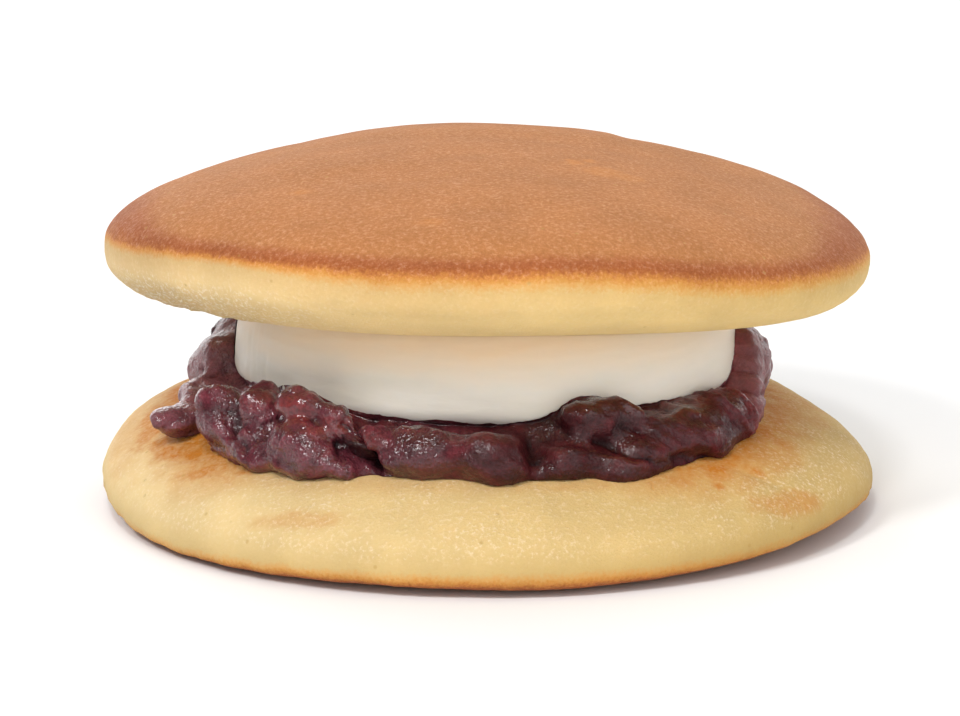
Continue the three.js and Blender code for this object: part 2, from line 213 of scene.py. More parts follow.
# Where a bean's skin shows red: (angle, height), half sizes, and strength.
RED_SKINS = [
    ((-127, 18.0), (3.4, 1.9), 1.0),
    ((-119, 16.8), (3.0, 1.3), 0.7),
    ((-136, 18.2), (3.0, 1.2), 0.5),
    ((-141, 16.5), (1.6, 3.0), 0.5),
    ((-128, 10.9), (3.0, 1.2), 0.6),
    ((-110, 15.6), (2.4, 1.4), 0.5),
    ((-97, 12.4), (5.0, 1.6), 0.45),
    ((-68, 19.6), (5.5, 1.2), 0.7),
    ((-56, 18.6), (4.0, 1.0), 0.7),
    ((-45, 17.6), (5.0, 1.0), 0.7),
    ((-64, 13.6), (3.0, 1.4), 0.4),
    ((-23, 20.2), (4.6, 2.9), 1.0),
    ((-29, 16.5), (3.0, 1.2), 0.5),
]
# How light the paste is round the heap: angle, and share of its full colour. This is partly its own tone
# and partly painted sheen, lightest at both ends, where the heap slopes up and light grazes it.
PASTE_TONE_AND_PAINTED_SHEEN = [
    (-205, 1.2), (-190, 2.2), (-168, 1.8), (-152, 1.14), (-118, 1.04), (-100, 0.79), (-80, 0.56),
    (-70, 0.46), (-45, 0.67), (-33, 0.88), (-22, 1.8), (-5, 1.8), (20, 1.2),
]
BEAN = {"length": 8.2, "width": 5.6, "thickness": 5.0, "size_spread": 0.16}
BEAN_ARC = (2, 184)
BEAN_ROWS = [(13, 1.4, 0.1, 0), (11, 1.6, 0.5, 0.05), (10, 1.6, 0.86, 0.11)]  # count, sink, level, taper
BEAN_SEED = 41
PASTE_VOXEL = 0.41
MASH = [(0.30, 3.0, 1.3), (0.17, 1.4, 5.1), (0.12, 0.9, 6.6)]  # relief of the crushed beans
FRAGMENT = 4.4  # across a crushed bean
# The tall lump at the left curls in under itself: angle and spread, height from and to, and depth.
TUCKED_LUMP = {"at": (-153, 8), "up": (10.6, 14.2), "depth": 1.8}
# Where the paste was drawn smooth: angles where that starts, is full, starts to end and ends.
SMOOTH_SIDE = (-108, -84, -5, 10)
DRAWN_RIGHT = (-108, -84, 15, 35)
FAR_LEFT = (-230, -205, -166, -156)
ROUNDS = {"everywhere": 6, "drawn": 70, "hollows": 14}  # of smoothing, the last to find the hollows
CONTACT_GAP = 0.08  # between pieces that stick together


# ---- Helpers ----


def waves(listed, angle):
    return sum((a * np.cos(n * (angle - math.radians(at))) for n, a, at in listed), 0 * angle)


def smooth_step(value, start, end):
    t = np.clip((value - start) / (end - start), 0, 1)
    return t * t * (3 - 2 * t)


def between(value, start, full, fall, end):
    """1 from full to fall, and 0 before start and past end."""
    return smooth_step(value, start, full) * (1 - smooth_step(value, fall, end))


def bell(value, middle, spread):
    return np.exp(-(((value - middle) / spread) ** 2))


def grain(places, size, seed):
    """Smooth noise from about -1 to 1, with humps and hollows of this size, at each place."""
    return np.array([noise.noise(p) for p in (places / size + seed).tolist()])


def layers(places, listed):
    return sum(amount * grain(places, size, seed) for amount, size, seed in listed)


def shifts(places, size, *seeds):
    """A smooth random shift of each place: a seed each for X, Y and Z, or one for the same along all."""
    return np.stack([grain(places, size, seed) for seed in seeds], axis=1)


def seeded_random(seed):
    """Repeatable random numbers from 0 to 1, the same as the part's."""
    state = seed
    while True:
        state = (state * 1664525 + 1013904223) % 2**32
        yield state / 2**32


def places_of(mesh):
    flat = np.empty(len(mesh.vertices) * 3, np.float32)
    mesh.vertices.foreach_get("co", flat)
    return flat.reshape(-1, 3).astype(float)


def set_places(mesh, places):
    mesh.vertices.foreach_set("co", np.asarray(places, np.float32).ravel())
    mesh.update()


def normals_of(mesh):
    flat = np.empty(len(mesh.vertices) * 3, np.float32)
    mesh.vertex_normals.foreach_get("vector", flat)
    return flat.reshape(-1, 3).astype(float)


def mark(mesh, name, values):
    """Keeps a number for each vertex, which a material reads as an attribute."""
    attribute = mesh.attributes.new(name, "FLOAT", "POINT")
    attribute.data.foreach_set("value", np.asarray(values, np.float32))


def spun(section, segments):
    """A bmesh turned about Z from a section of (distance from the axis, height), with closed poles."""
    bm = bmesh.new()
    chain = [bm.verts.new((out, 0, up)) for out, up in section]
    edges = [bm.edges.new(pair) for pair in zip(chain, chain[1:])]
    bmesh.ops.spin(
        bm, geom=chain + edges, axis=(0, 0, 1), cent=(0, 0, 0),
        angle=math.tau, steps=segments, use_merge=True,
    )
    bmesh.ops.remove_doubles(bm, verts=bm.verts, dist=1e-6)
    bmesh.ops.recalc_face_normals(bm, faces=bm.faces)
    return bm


def mesh_from(bm, name):
    mesh = bpy.data.meshes.new(name)
    bm.to_mesh(mesh)
    bm.free()
    return mesh


def linked(name, data):
    made = bpy.data.objects.new(name, data)
    bpy.context.scene.collection.objects.link(made)
    return made


def piece(mesh, name, node, material):
    """Puts a finished mesh in the frame, in metres, in place of its CAD node."""
    set_places(mesh, (places_of(mesh) + (*MIDDLE, 0)) * MM)
    mesh.shade_smooth()
    mesh.materials.append(material)
    made = linked(name, mesh)
    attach(made, "root")
    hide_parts(node)


# ---- Pancakes ----


def face_height(face, share):
    """Height of one face above or below the waist, at a share of the radius."""
    full = face["height"] * np.maximum(0, 1 - share ** face["power"]) ** (1 / face["power"])
    sharp = PRESS_SHARPNESS
    return (np.maximum(full, 1e-6) ** -sharp + face["pressed_to"] ** -sharp) ** (-1 / sharp)


def skin_height(cake, share, angle, side):
    """Height of the skin above the ground: side is 1 on top of the pancake and -1 under it."""
    face, thickness = ("above", "thickness_above") if side > 0 else ("below", "thickness_below")
    height = face_height(cake[face], share) * (1 + waves(cake[thickness], angle) * share**2)
    x, y = share * np.cos(angle), share * np.sin(angle)
    waist = cake["waist_height"] - cake["front_lift"] * y - cake["right_drop"] * x
    return np.maximum(0, waist + waves(cake["waist_rise"], angle) * share**2 + side * height)


def height_over(cake, places, side):
    """Height of the pancake's skin right over or under these places."""
    x, y = places[:, 0] - cake["centre"][0], places[:, 1] - cake["centre"][1]
    angle, out = np.arctan2(y, x), np.hypot(x, y) / cake["radius"]
    share = out
    for _ in range(4):
        share = out / (1 + waves(cake["outline"], angle) * share)
    return skin_height(cake, np.minimum(share, 1), angle, side)


def rings_of(face, radius, covered):
    """Turns from the waist, 0, to the pole, pi/2, of rings that lie evenly along the face, and a table
    of the distance along it."""
    turn = np.linspace(0, math.pi / 2, 6001)
    share = np.cos(turn) ** (2 / face["power"])
    length = np.hypot(np.diff(share * radius), np.diff(face_height(face, share)))
    along = np.concatenate([[0], np.cumsum(length)])
    spacing = np.where(share[1:] * radius < covered, RING_SPACING * 4, RING_SPACING)
    count = np.concatenate([[0], np.cumsum(length / spacing)])
    steps = round(count[-1])
    return np.interp(np.linspace(0, count[-1], steps + 1), count, turn), (turn, along)


def pancake_mesh(cake, name, relief):
    """A pancake's skin. relief(places, degrees, past_waist) moves it out or in, in mm, and past_waist is
    the distance along the skin from the waist, above 0 on the browned side."""
    browned_above = cake["browned"] > 0
    rings = {}
    for side, face in ((1, cake["above"]), (-1, cake["below"])):
        covered = 0 if side > 0 and browned_above else COVERED_RADIUS
        rings[side] = rings_of(face, cake["radius"], covered)
    turns = [-t for t in rings[-1][0][:0:-1]] + list(rings[1][0])
    mesh = mesh_from(spun([(math.cos(t), math.sin(t)) for t in turns], SEGMENTS["pancakes"]), name)

    ball = places_of(mesh)
    angle = np.arctan2(ball[:, 1], ball[:, 0])
    turn = np.arctan2(ball[:, 2], np.hypot(ball[:, 0], ball[:, 1]))
    top = turn > 0
    power = np.where(top, cake["above"]["power"], cake["below"]["power"])
    share = np.maximum(0, np.cos(turn)) ** (2 / power)
    out = cake["radius"] * share * (1 + waves(cake["outline"], angle) * share)
    places = np.stack(
        [
            cake["centre"][0] + out * np.cos(angle),
            cake["centre"][1] + out * np.sin(angle),
            np.where(top, skin_height(cake, share, angle, 1), skin_height(cake, share, angle, -1)),
        ],
        axis=1,
    )
    set_places(mesh, places)

    along = np.where(top, np.interp(abs(turn), *rings[1][1]), np.interp(abs(turn), *rings[-1][1]))
    past_waist = np.where(top, 1, -1) * cake["browned"] * along
    moved = places + normals_of(mesh) * relief(places, np.degrees(angle), past_waist)[:, None]
    moved[:, 2] = np.maximum(moved[:, 2], 0)
    set_places(mesh, moved)
    return mesh, places, angle, past_waist


def stains(listed, places, ragged):
    """How brown the patches are at each place, with ragged edges."""
    total = np.zeros(len(places))
    for (x, y), (long, wide), direction, strength in listed:
        turn = math.radians(direction)
        dx, dy = places[:, 0] - x, places[:, 1] - y
        along = (dx * math.cos(turn) + dy * math.sin(turn)) / long
        across = (-dx * math.sin(turn) + dy * math.cos(turn)) / wide
        near = 1 - np.hypot(along, across) + min(0.5, 1.3 / wide) * ragged
        total = np.maximum(total, strength * smooth_step(near, -0.45, 0.45))
    return total


def browning(cake, angle, past_waist, band_width, crispness):
    """mm past the browning line. Beyond the line itself the dark band is spread over its own width."""
    line = cake["brown_line"] + waves(cake["brown_line_waves"], angle)
    past_line = (past_waist - line) * crispness
    return np.where(past_line < 1.2, past_line, 1.2 + (past_line - 1.2) / band_width)


def rim_grain(cake, places, past_waist, end):
    return layers(places, cake["rim_grain"]) * (1 - smooth_step(abs(past_waist), 1, end))


def lower_relief(places, degrees, past_waist):
    x, y = places[:, 0], places[:, 1]
    pale = smooth_step(-past_waist, -0.5, 1.5)
    free = smooth_step(np.hypot(x, y), 30, 37)  # of the filling
    swell = layers(places, LOWER["swell"])
    crumb = 0.07 * grain(places, 1.5, 1.7) * pale
    fold = SKIN_CREASE
    across = y - fold["at"][1] + fold["slant"] * (x - fold["at"][0])
    crease = bell(across, 0, fold["half_width"]) * bell(x, fold["at"][0], fold["half_length"])
    return (swell + crumb - fold["depth"] * crease * pale) * free + rim_grain(LOWER, places, past_waist, 4)


def upper_relief(places, degrees, past_waist):
    pale = smooth_step(-past_waist, -0.3, 1.0)
    free = 1 - smooth_step(-past_waist, 9, 14)  # of the cream
    swell = layers(places, UPPER["swell"]) * free
    crumb = (0.06 + 0.38 * torn_underside(TORN_RELIEF, degrees, past_waist)) * grain(places, 1.25, 4.4)
    crumb = crumb * pale * free
    dome = between(places[:, 0], *DOME_SWELLING["x"]) * between(places[:, 1], *DOME_SWELLING["y"])
    return swell + crumb + rim_grain(UPPER, places, past_waist, 5) + DOME_SWELLING["height"] * dome


def torn_underside(where, degrees, past_waist):
    return bell(degrees, *where) * smooth_step(-past_waist, 1.0, 4.5)


def lower_pancake():
    mesh, places, angle, past_waist = pancake_mesh(LOWER, "lower_pancake_skin", lower_relief)
    mark(mesh, "browning", browning(LOWER, angle, past_waist, 1.6, 1.3))
    pale_face = smooth_step(-past_waist, 1, 3)
    ragged = layers(places, [(1, 3.0, 7.7), (0.6, 1.1, 2.2)])
    # It has soaked up syrup along the heap, in blotches that are widest at the left and the right.
    degrees, _, out = round_the_heap(places)
    beyond = out - heap_radius(np.radians(degrees)) - 0.8 * ragged
    wettest = np.maximum(smooth_step(degrees, -75, -50), 1 - smooth_step(degrees, -150, -128))
    blotches = 0.75 + 0.6 * grain(places, 2.6, 3.6) + 0.25 * smooth_step(-degrees, 128, 150)
    soaked = (0.25 + 0.75 * wettest * blotches) * (1 - smooth_step(beyond, 1.2, 4.2 + 4.6 * wettest))
    stained = np.maximum(soaked, stains(LOWER_STAINS, places, ragged))
    mark(mesh, "stain", stained * pale_face)
    # Its crumb, whose lighter specks are partly painted glints, shows most in the moist middle of the front
    # and on the rough right.
    moist = bell(places[:, 0], -14, 24) * np.clip(0.6 + grain(places, 7, 9.4), 0, 1)
    rough = smooth_step(places[:, 0], 16, 30) * np.clip(0.5 + grain(places, 5, 2.8), 0, 1)
    mark(mesh, "torn", (0.2 + 0.4 * moist + 0.5 * rough) * pale_face * (1 - 0.7 * stained))
    return mesh


def upper_pancake():
    mesh, places, angle, past_waist = pancake_mesh(UPPER, "upper_pancake_skin", upper_relief)
    degrees = np.degrees(angle)
    # The dark band is narrow at the front and wide at the ends, and its line is sharper on the left.
    from_front = np.abs((degrees + 90 + 180) % 360 - 180)
    band = 1 + 2.6 * smooth_step(from_front, 52, 82) - 1.0 * smooth_step(from_front, 100, 150)
    crispness = 1 + 0.9 * smooth_step(-degrees, 105, 135)
    mark(mesh, "browning", browning(UPPER, angle, past_waist, band * crispness, crispness))
    flecks = stains(UPPER_STAINS, places, grain(places, 1.2, 7.7))
    mark(mesh, "stain", flecks * smooth_step(past_waist, 1, 3))
    # Its torn underside gets lighter specks, partly painted light that brightens the shaded underside.
    mark(mesh, "torn", 0.1 + 1.7 * torn_underside(TORN_SPECKS_AND_GLINTS, degrees, past_waist))
    return mesh


# ---- Cream ----


def cream_wall(height):
    """Radius of the cream's wall at a height, before its waves."""
    rounding, floor, ceiling = CREAM["foot_rounding"], CREAM["floor"], CREAM["ceiling"]
    foot = np.clip((height - floor) / rounding, 0, 1)
    rise = np.clip((height - floor - rounding) / (ceiling - floor - rounding), 0, 1)
    rounded_off = rounding * (1 - np.sqrt(1 - (1 - foot) ** 2))
    return CREAM["radius"] - rounded_off - CREAM["shoulder"] * rise**2


def cream_mesh():
    floor, ceiling, rounding = CREAM["floor"], CREAM["ceiling"], CREAM["foot_rounding"]
    inner = CREAM["radius"] - rounding
    base, foot, wall, top = CREAM_RINGS.values()
    section = [(inner * i / base, floor) for i in range(base)]
    for i in range(foot + 1):
        t = (i / foot) * math.pi / 2
        section.append((inner + rounding * math.sin(t), floor + rounding * (1 - math.cos(t))))
    wall_foot = floor + rounding
    for i in range(1, wall + 1):
        height = wall_foot + (ceiling - wall_foot) * i / wall
        section.append((float(cream_wall(height)), height))
    rim = section[-1][0]
    section += [(rim * (1 - i / top), ceiling) for i in range(1, top + 1)]
    mesh = mesh_from(spun(section, SEGMENTS["cream"]), "cream_skin")

    places = places_of(mesh)
    angle, out = np.arctan2(places[:, 1], places[:, 0]), np.hypot(places[:, 0], places[:, 1])
    height = places[:, 2]
    free = smooth_step(out, 26, 29)
    arc = angle * CREAM["radius"]
    # Streaks that the spreading knife left run round it, and fine upright ones mark its left end.
    round_streaks = np.stack([np.cos(angle) * 5, np.sin(angle) * 5, height / 0.9], axis=1)
    sweep = 0.06 * grain(round_streaks, 1, 4.1) + 0.20 * grain(places, 8, 2.4)
    left_end = bell(np.degrees(angle) % 360, *CREAM["upright_streaks"])
    upright = np.stack([arc / 0.55, 0 * arc, height / 9], axis=1) + 0.9 * shifts(places, 3, 7.2)
    sweep = sweep + 0.15 * left_end * grain(upright, 1, 6.3)
    out = out * (1 + waves(CREAM["waves"], angle) / CREAM["radius"]) + sweep * free
    places = np.stack(
        [
            CREAM["centre"][0] + out * np.cos(angle),
            CREAM["centre"][1] + out * np.sin(angle),
            height,
        ],
        axis=1,
    )
    places[:, 2] = np.minimum(height, height_over(UPPER, places, -1) - CONTACT_GAP)
    set_places(mesh, places)
    return mesh


# ---- Bean paste ----


def heap_radius(angle):
    return PASTE_RADIUS + waves(PASTE_WAVES, angle)


def ridge_height(angle):
    def apart(degrees):
        return np.degrees(np.arccos(np.clip(np.cos(angle - math.radians(degrees)), -1, 1)))

    arc = RIDGE_LOW_ARC
    climbed = smooth_step(apart(arc["middle"]), arc["half_width"], arc["half_width"] + arc["climb"])
    height = RIDGE_LOW + (RIDGE_HIGH - RIDGE_LOW) * climbed
    for at, rise, spread in RIDGE_HUMPS:
        height = height + rise * bell(apart(at), 0, spread)
    return height


def wall_lean(angle, rise):
    return PASTE_LEAN["amount"] * (1 + np.cos(angle - math.radians(PASTE_LEAN["at"]))) * rise**2


def paste_core():
    """The mash itself: a ridge round a thin bed."""
    section = PASTE_SECTION + [(0.7, 2), (0, 2)]  # the last two are the bed under the cream
    bm = spun(section, SEGMENTS["paste"])
    for vertex in bm.verts:
        share, rise = math.hypot(vertex.co.x, vertex.co.y), vertex.co.z
        angle = math.atan2(vertex.co.y, vertex.co.x)
        if rise > 1.5:
            out, up = share * PASTE_RADIUS, PASTE_BED_TOP
        else:
            out = (share - float(wall_lean(angle, rise))) * float(heap_radius(np.float64(angle)))
            up = PASTE_FOOT + (float(ridge_height(np.float64(angle))) - PASTE_FOOT) * rise
        vertex.co = (
            PASTE_CENTRE[0] + out * math.cos(angle),
            PASTE_CENTRE[1] + out * math.sin(angle),
            up,
        )
    return bm


def on_heap(out, angle, up):
    return Matrix.Translation(
        (PASTE_CENTRE[0] + out * math.cos(angle), PASTE_CENTRE[1] + out * math.sin(angle), up)
    )


def lump_places():
    """Where each lump lies, as a matrix that turns a ball one across into it."""
    found = []
    for at, out, up, size, roll in LUMPS:
        turn = Matrix.Rotation(math.radians(at + 90), 4, "Z") @ Matrix.Rotation(math.radians(-roll), 4, "Y")
        found.append(on_heap(out, math.radians(at), up) @ turn @ Matrix.Diagonal((*size, 1)))
    return found


def bean_places():
    """Whole azuki beans round the far side, each a little off its place in its row."""
    random = seeded_random(BEAN_SEED)

    def stray():
        return 2 * next(random) - 1

    found = []
    for count, sink, level, taper in BEAN_ROWS:
        for i in range(count):
            share = (i + 0.5 + 0.3 * stray()) / count
            angle = math.radians(BEAN_ARC[0] + (BEAN_ARC[1] - BEAN_ARC[0]) * share)
            at = np.float64(angle)
            out = heap_radius(at) * (1 - taper - wall_lean(at, level)) - sink + 0.9 * stray()
            under = np.array(on_heap(out, angle, 0).translation)[None]
            lowest = height_over(LOWER, under, 1)[0] + BEAN["thickness"] * 0.35
            up = lowest + (ridge_height(at) - lowest) * level + 0.5 * stray()
            size = 1 + BEAN["size_spread"] * stray()
            turn_x = Matrix.Rotation(math.pi * next(random), 4, "X")
            turn_y = Matrix.Rotation(math.radians(28) * stray(), 4, "Y")
            turn_z = Matrix.Rotation(angle + math.pi / 2 + math.radians(45) * stray(), 4, "Z")
            shape = Matrix.Diagonal((BEAN["length"], BEAN["width"], BEAN["thickness"], 1))
            shape = shape @ Matrix.Scale(size, 4)
            shape[3][3] = 1
            found.append(on_heap(out, angle, up) @ turn_z @ turn_y @ turn_x @ shape)
    return found


def remeshed(bm, voxel):
    """One closed skin round everything in a bmesh, in mm."""
    mesh = mesh_from(bm, "bean_paste_skin")
    carrier = linked("bean_paste_carrier", mesh)
    remesh = carrier.modifiers.new("one_skin", "REMESH")
    remesh.mode = "VOXEL"
    remesh.voxel_size = voxel
    graph = bpy.context.evaluated_depsgraph_get()
    skin = bpy.data.meshes.new_from_object(carrier.evaluated_get(graph))
    bpy.data.objects.remove(carrier)
    bpy.data.meshes.remove(mesh)
    return skin


def clear_of_neighbours(places):
    """Keeps the paste on the lower pancake, under the upper one and outside the cream."""
    places = places.copy()
    dx, dy = places[:, 0] - CREAM["centre"][0], places[:, 1] - CREAM["centre"][1]
    angle, out = np.arctan2(dy, dx), np.hypot(dx, dy)
    wavy = waves(CREAM["waves"], angle)
    wall = cream_wall(places[:, 2]) + wavy + CONTACT_GAP
    too_far_in = wall - out
    too_high = places[:, 2] - (CREAM["floor"] - CONTACT_GAP)
    inside = (too_far_in > 0) & (too_high > 0)
    outwards = inside & (too_far_in < too_high + 1.5)
    downwards = inside & ~outwards
    places[outwards, 0] += (too_far_in * np.cos(angle))[outwards]
    places[outwards, 1] += (too_far_in * np.sin(angle))[outwards]
    places[downwards, 2] = CREAM["floor"] - CONTACT_GAP
    ceiling = height_over(UPPER, places, -1) - CONTACT_GAP
    floor = height_over(LOWER, places, 1) + CONTACT_GAP
    places[:, 2] = np.maximum(np.minimum(places[:, 2], ceiling), floor)
    return places


def relaxed(mesh, places, rounds):
    """Places drawn to the middle of their neighbours, each by its own number of rounds."""
    ends = np.empty(len(mesh.edges) * 2, np.int32)
    mesh.edges.foreach_get("vertices", ends)
    first, second = ends.reshape(-1, 2).T
    count = len(places)
    neighbours = np.bincount(ends, minlength=count)[:, None]
    for done in range(int(rounds.max())):
        total = [
            np.bincount(first, places[second, k], count) + np.bincount(second, places[first, k], count)
            for k in range(3)
        ]
        middle = np.stack(total, axis=1) / neighbours
        places = np.where((rounds > done)[:, None], (places + middle) / 2, places)
    return places


def round_the_heap(places):
    """Angle in degrees, distance along the heap's outer face, and distance out from its middle."""
    dx, dy = places[:, 0] - PASTE_CENTRE[0], places[:, 1] - PASTE_CENTRE[1]
    degrees = (np.degrees(np.arctan2(dy, dx)) + 270) % 360 - 270
    return degrees, np.radians(degrees) * PASTE_RADIUS, np.hypot(dx, dy)


def bean_skin(arc, height):
    """1 where a bean's skin shows."""
    total = np.zeros(len(arc))
    for (at, up), (long, tall), strength in RED_SKINS:
        away = np.hypot((arc - math.radians(at) * PASTE_RADIUS) / long, (height - up) / tall)
        total = np.maximum(total, strength * (1 - smooth_step(away, 0.5, 1.3)))
    return total


def fold_relief(arc, height):
    total = np.zeros(len(arc))
    for (from_at, from_up), (to_at, to_up), width, depth in FOLDS:
        start = np.array((math.radians(from_at) * PASTE_RADIUS, from_up))
        run = np.array((math.radians(to_at) * PASTE_RADIUS, to_up)) - start
        dx, dy = arc - start[0], height - start[1]
        along = np.clip((dx * run[0] + dy * run[1]) / (run @ run), 0, 1)
        away = np.hypot(dx - along * run[0], dy - along * run[1])
        total += depth * bell(away, 0, width)
    return total


def fragment_creases(places, size, seed):
    """How near a place is to a seam between two crushed fragments: 1 on the seam and 0 inside them."""
    points = (places / size + seed).tolist()
    gaps = np.array([(d[1] - d[0]) for d, _ in (noise.voronoi(p) for p in points)])
    return bell(gaps, 0, 0.13)


def paste_relief(places):
    """Crushed fragments on the left and the back, and slanting folds on the smooth right."""
    degrees, arc, out = round_the_heap(places)
    height = places[:, 2]
    seams = fragment_creases(places + 0.9 * shifts(places, 3, 11.1, 12.2, 13.3), FRAGMENT, 4.2)
    mash = layers(places, MASH) - 0.28 * seams
    mash = mash * (1 - 0.55 * between(degrees, *FAR_LEFT)) * (1 - 0.75 * bean_skin(arc, height))
    drawn = np.stack([(arc + height * 1.3) / 2.6, (height - arc * 0.5) / 6.5, 0 * arc], axis=1)
    drawn = drawn + 0.45 * shifts(places, 4.5, 14.1, 15.2, 16.3)
    folds = 0.36 * (0.3 - np.abs(grain(drawn, 1, 3.3))) + 0.14 * grain(places, 1.3, 5.1)
    folds = folds + 0.22 * (0.3 - np.abs(grain(drawn * 2.1, 1, 8.3)))
    pressed = fold_relief(
        arc + 0.7 * grain(places, 2.2, 31.1), height + 0.7 * grain(places, 2.4, 32.2)
    )
    tuck = TUCKED_LUMP
    tucked = tuck["depth"] * bell(degrees, *tuck["at"]) * (1 - smooth_step(height, *tuck["up"]))
    smooth = between(degrees, *SMOOTH_SIDE)
    outer = smooth_step(out, 29.5, 32.5)
    return (1 - smooth) * mash + smooth * folds + (pressed - tucked) * outer


def bean_paste():
    bm = paste_core()
    for number, place in enumerate(lump_places() + bean_places()):
        ball = bmesh.ops.create_icosphere(bm, subdivisions=3, radius=0.5)["verts"]
        for vertex in ball:
            uneven = noise.noise(vertex.co * 3.2 + Vector((number, 0, 0)))
            vertex.co = place @ (vertex.co * (1 + LUMP_UNEVENNESS * uneven))
    mesh = remeshed(bm, PASTE_VOXEL)
    places = places_of(mesh)
    places = places + 0.8 * shifts(places, 5.5, 21.1, 22.2, 23.3)
    degrees, _, _ = round_the_heap(places)
    drawn = between(degrees, *DRAWN_RIGHT) + between(degrees, *FAR_LEFT)
    places = relaxed(mesh, places, ROUNDS["everywhere"] + ROUNDS["drawn"] * drawn)
    set_places(mesh, places)
    places = places + normals_of(mesh) * (0.15 + paste_relief(places))[:, None]
    places = clear_of_neighbours(places)
    set_places(mesh, places)

    degrees, arc, _ = round_the_heap(places)
    mark(mesh, "skin_red", bean_skin(arc, places[:, 2]))
    mark(mesh, "smooth_side", between(degrees, *SMOOTH_SIDE))
    # Painted shade and light: the creases are painted darker and the crests lighter.
    filled = relaxed(mesh, places, np.full(len(places), ROUNDS["hollows"]))
    hollow = np.sum((filled - places) * normals_of(mesh), axis=1)
    painted_crease_shade = 1 + 0.25 * smooth_step(-hollow, 0.05, 0.3) - 0.7 * smooth_step(hollow, 0.05, 0.34)
    mark(mesh, "tone_sheen_and_shade", np.interp(degrees, *zip(*PASTE_TONE_AND_PAINTED_SHEEN)) * painted_crease_shade)
    return mesh


# ---- Materials ----


def linear(colour):
    """An sRGB hex colour as linear RGBA."""
    channels = [int(colour[i : i + 2], 16) / 255 for i in (1, 3, 5)]
    return [c / 12.92 if c <= 0.04045 else ((c + 0.055) / 1.055) ** 2.4 for c in channels] + [1]


def new_material(name):
    """An empty material, and the function that adds a shader node to it."""
    material = bpy.data.materials.new(name)
    material.use_nodes = True
    tree = material.node_tree
    tree.nodes.clear()

    def add(kind, inputs=None, stops=None, **settings):
        """inputs are the node's sockets by name or number, each a value, another node's output, or
        another node for its first output. stops are a colour ramp's (position, hex colour)."""
        made = tree.nodes.new("ShaderNode" + kind)
        for key, value in settings.items():
            setattr(made, key, value)
        for key, value in (inputs or {}).items():
            if isinstance(value, bpy.types.Node):
                value = value.outputs[0]
            if isinstance(value, bpy.types.NodeSocket):
                tree.links.new(value, made.inputs[key])
            else:
                made.inputs[key].default_value = value
        if stops:
            ramp = made.color_ramp
            while len(ramp.elements) < len(stops):
                ramp.elements.new(0.5)
            for element, (position, colour) in zip(ramp.elements, stops):
                element.position, element.color = position, linear(colour)
        return made

    return material, add


def per(size):
    """Scale of a texture on Object coordinates, in metres, whose grain is this many mm."""
    return 1 / (size * MM)


# Colours across the browning line, from the pale side to the middle of the browned face: mm past the
# line, and colour. The pale side's own two colours, at its edge and further in, come before them.
BROWNING = [
    (-0.45, "#e0ad65"),
    (0.0, "#d4984c"),
    (0.55, "#c4813d"),
    (1.1, "#a76331"),
    (1.7, "#99552a"),
    (2.4, "#9f5d35"),
    (3.9, "#b07444"),
]
# Painted light: the pale side is lighter further in from its edge. This is partly its own colour and partly
# light painted on, which evens out the shade that falls on it away from the crust.
PALE_EDGE, PALE_DEPTH = -1.4, -5.5
BROWNING_SPAN = (-9.0, 5.0)


